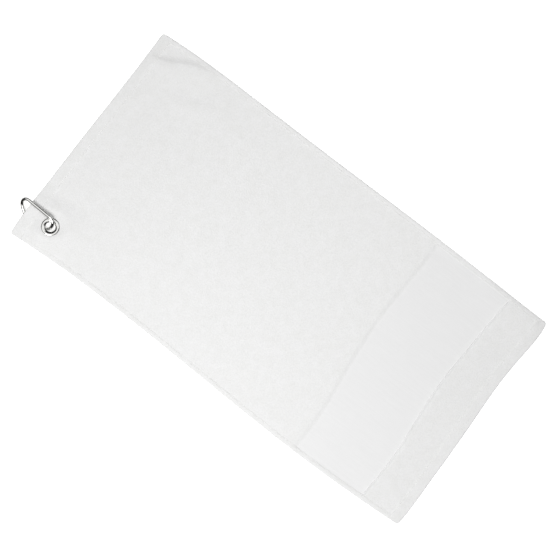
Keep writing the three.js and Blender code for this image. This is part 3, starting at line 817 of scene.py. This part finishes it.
def bar(radius, ends, rounding):
    # A round bar along x whose ends curve in over the given rounding, as quarter circles.
    sides = hook["sides"]
    turns = np.linspace(0, math.pi / 2, 6)
    fromEnd, inset = rounding * (1 - np.cos(turns)), rounding * (1 - np.sin(turns))
    x = np.concatenate([ends[0] + fromEnd, ends[1] - fromEnd[::-1]])
    r = radius - np.concatenate([inset, inset[::-1]])
    angle = np.arange(sides) / sides * 2 * math.pi
    points = np.stack([np.broadcast_to(x[:, None], (len(x), sides)), r[:, None] * np.cos(angle),
                       r[:, None] * np.sin(angle)], -1).reshape(-1, 3)
    index = np.arange(len(x) * sides).reshape(len(x), sides)
    onwards = np.roll(index, -1, 1)
    quads = np.stack([index[:-1], onwards[:-1], onwards[1:], index[1:]], -1).reshape(-1, 4).tolist()
    return closedMesh(points, quads + [index[0][::-1].tolist(), index[-1].tolist()])


def block(size, centre):
    # A box by its size and centre.
    signs = np.array([(x, y, z) for x in (-1, 1) for y in (-1, 1) for z in (-1, 1)])
    points = signs * np.array(size) / 2 + np.array(centre)
    faces = [(0, 1, 3, 2), (4, 6, 7, 5), (0, 4, 5, 1), (2, 3, 7, 6), (0, 2, 6, 4), (1, 5, 7, 3)]
    return closedMesh(points, faces)


def turnedMesh(mesh, matrix):
    # The same mesh, moved by a matrix.
    mesh.transform(matrix)
    return mesh


def combine(base, steps):
    # Joins and cuts closed meshes one after another with Boolean modifiers and keeps the result.
    body = bpy.data.objects.new("work", base)
    bpy.context.scene.collection.objects.link(body)
    helpers = []
    for operation, mesh in steps:
        helper = bpy.data.objects.new("helper", mesh)
        bpy.context.scene.collection.objects.link(helper)
        helpers.append(helper)
        modifier = body.modifiers.new(operation, "BOOLEAN")
        modifier.operation = operation
        modifier.solver = "EXACT"
        modifier.object = helper
    bpy.context.view_layer.update()
    result = bpy.data.meshes.new_from_object(body.evaluated_get(bpy.context.evaluated_depsgraph_get()))
    for helper in helpers + [body]:
        bpy.data.objects.remove(helper)
    return result


def finishMetal(name, node, body, mesh, material, local=None):
    # A metal piece from a mesh in the hook's frame, or in one given by local, set in its place.
    if local is not None:
        mesh.transform(local)
    place = Matrix.Translation([c * mm for c in hook["place"]]) \
        @ Matrix.Rotation(math.radians(hook["tilt"]), 4, "X") @ Matrix.Scale(mm, 4)
    mesh.transform(place)
    piece = showMesh(name, mesh, material, hook["sharpAngle"])
    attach(piece, body)
    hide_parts(node)


def buildHook(h):
    # The body is the bent wire with a flat tongue at the rivet and a slot for the latch in its nose.
    # The gate is a round bar, forked over the tongue and bored for the spring, with a latch at its
    # tip. The rivet has a head on either side of the gate.
    route, rivet, gateAngle, gateLength = hookRoute(h)
    path = np.column_stack([route, np.zeros(len(route))])
    upright = np.tile([0.0, 0.0, 1.0], (len(path), 1))
    points, faces = tube(path, upright, (h["wire"], h["wire"]), h["sides"])
    gatePlace = Matrix.Translation((rivet[0], rivet[1], 0)) @ Matrix.Rotation(gateAngle, 4, "Z")
    upward = Matrix.Rotation(-math.pi / 2, 4, "Y")
    headInside = h["gate"] + h["headGap"]
    headMiddle = headInside + h["headThickness"] / 2

    def rivetHole():
        return turnedMesh(bar(h["rivet"] + h["gap"], (-h["drillReach"], h["drillReach"]), h["edge"]), upward)

    tongue = combine(block((*h["tongueSize"], h["tongue"] * 2), (h["tongueAt"], 0, 0)),
                     [("DIFFERENCE", rivetHole())])
    slotX, slotY = h["latchSlotAt"]
    latchSlot = block(h["latchSlot"], (gateLength + slotX, slotY, 0))
    body = combine(closedMesh(points, faces), [
        ("UNION", turnedMesh(tongue, gatePlace)), ("DIFFERENCE", turnedMesh(latchSlot, gatePlace))])
    finishMetal("springHook_body", "hook_body", "hook", body, nickel)

    slotStart = -h["forkBack"] - h["overcut"]
    slot = block((h["slotEnd"] - slotStart, h["slotWidth"], (h["tongue"] + h["gap"]) * 2),
                 ((h["slotEnd"] + slotStart) / 2, 0, 0))
    latchX, latchY = h["latchAt"]
    gate = combine(bar(h["gate"], (-h["forkBack"], gateLength), h["gateRounding"]), [
        ("DIFFERENCE", slot),
        ("DIFFERENCE", bar(h["bore"], (h["slotEnd"] - h["overcut"], h["boreEnd"]), h["edge"])),
        ("DIFFERENCE", rivetHole()),
        ("UNION", block(h["latch"], (gateLength + latchX, latchY, 0)))])
    finishMetal("springHook_gate", "hook_gate", "gate", gate, nickel, gatePlace)

    half = h["headThickness"] / 2
    heads = [bar(h["head"], (side * headMiddle - half, side * headMiddle + half), h["headRounding"])
             for side in (-1, 1)]
    shankEnd = headInside + h["rivetReach"]
    rivetMesh = combine(turnedMesh(bar(h["rivet"], (-shankEnd, shankEnd), h["edge"]), upward),
                        [("UNION", turnedMesh(head, upward)) for head in heads])
    finishMetal("springHook_rivet", "gate_rivet", "hook", rivetMesh, steel, gatePlace)


buildHook(hook)
# the gate's spring and plunger keep their own meshes and are given the steel
for nodeName in ("gate_plunger", "gate_spring"):
    node = bpy.data.objects[nodeName]
    node.data.materials.clear()
    node.data.materials.append(steel)
print("hook done")
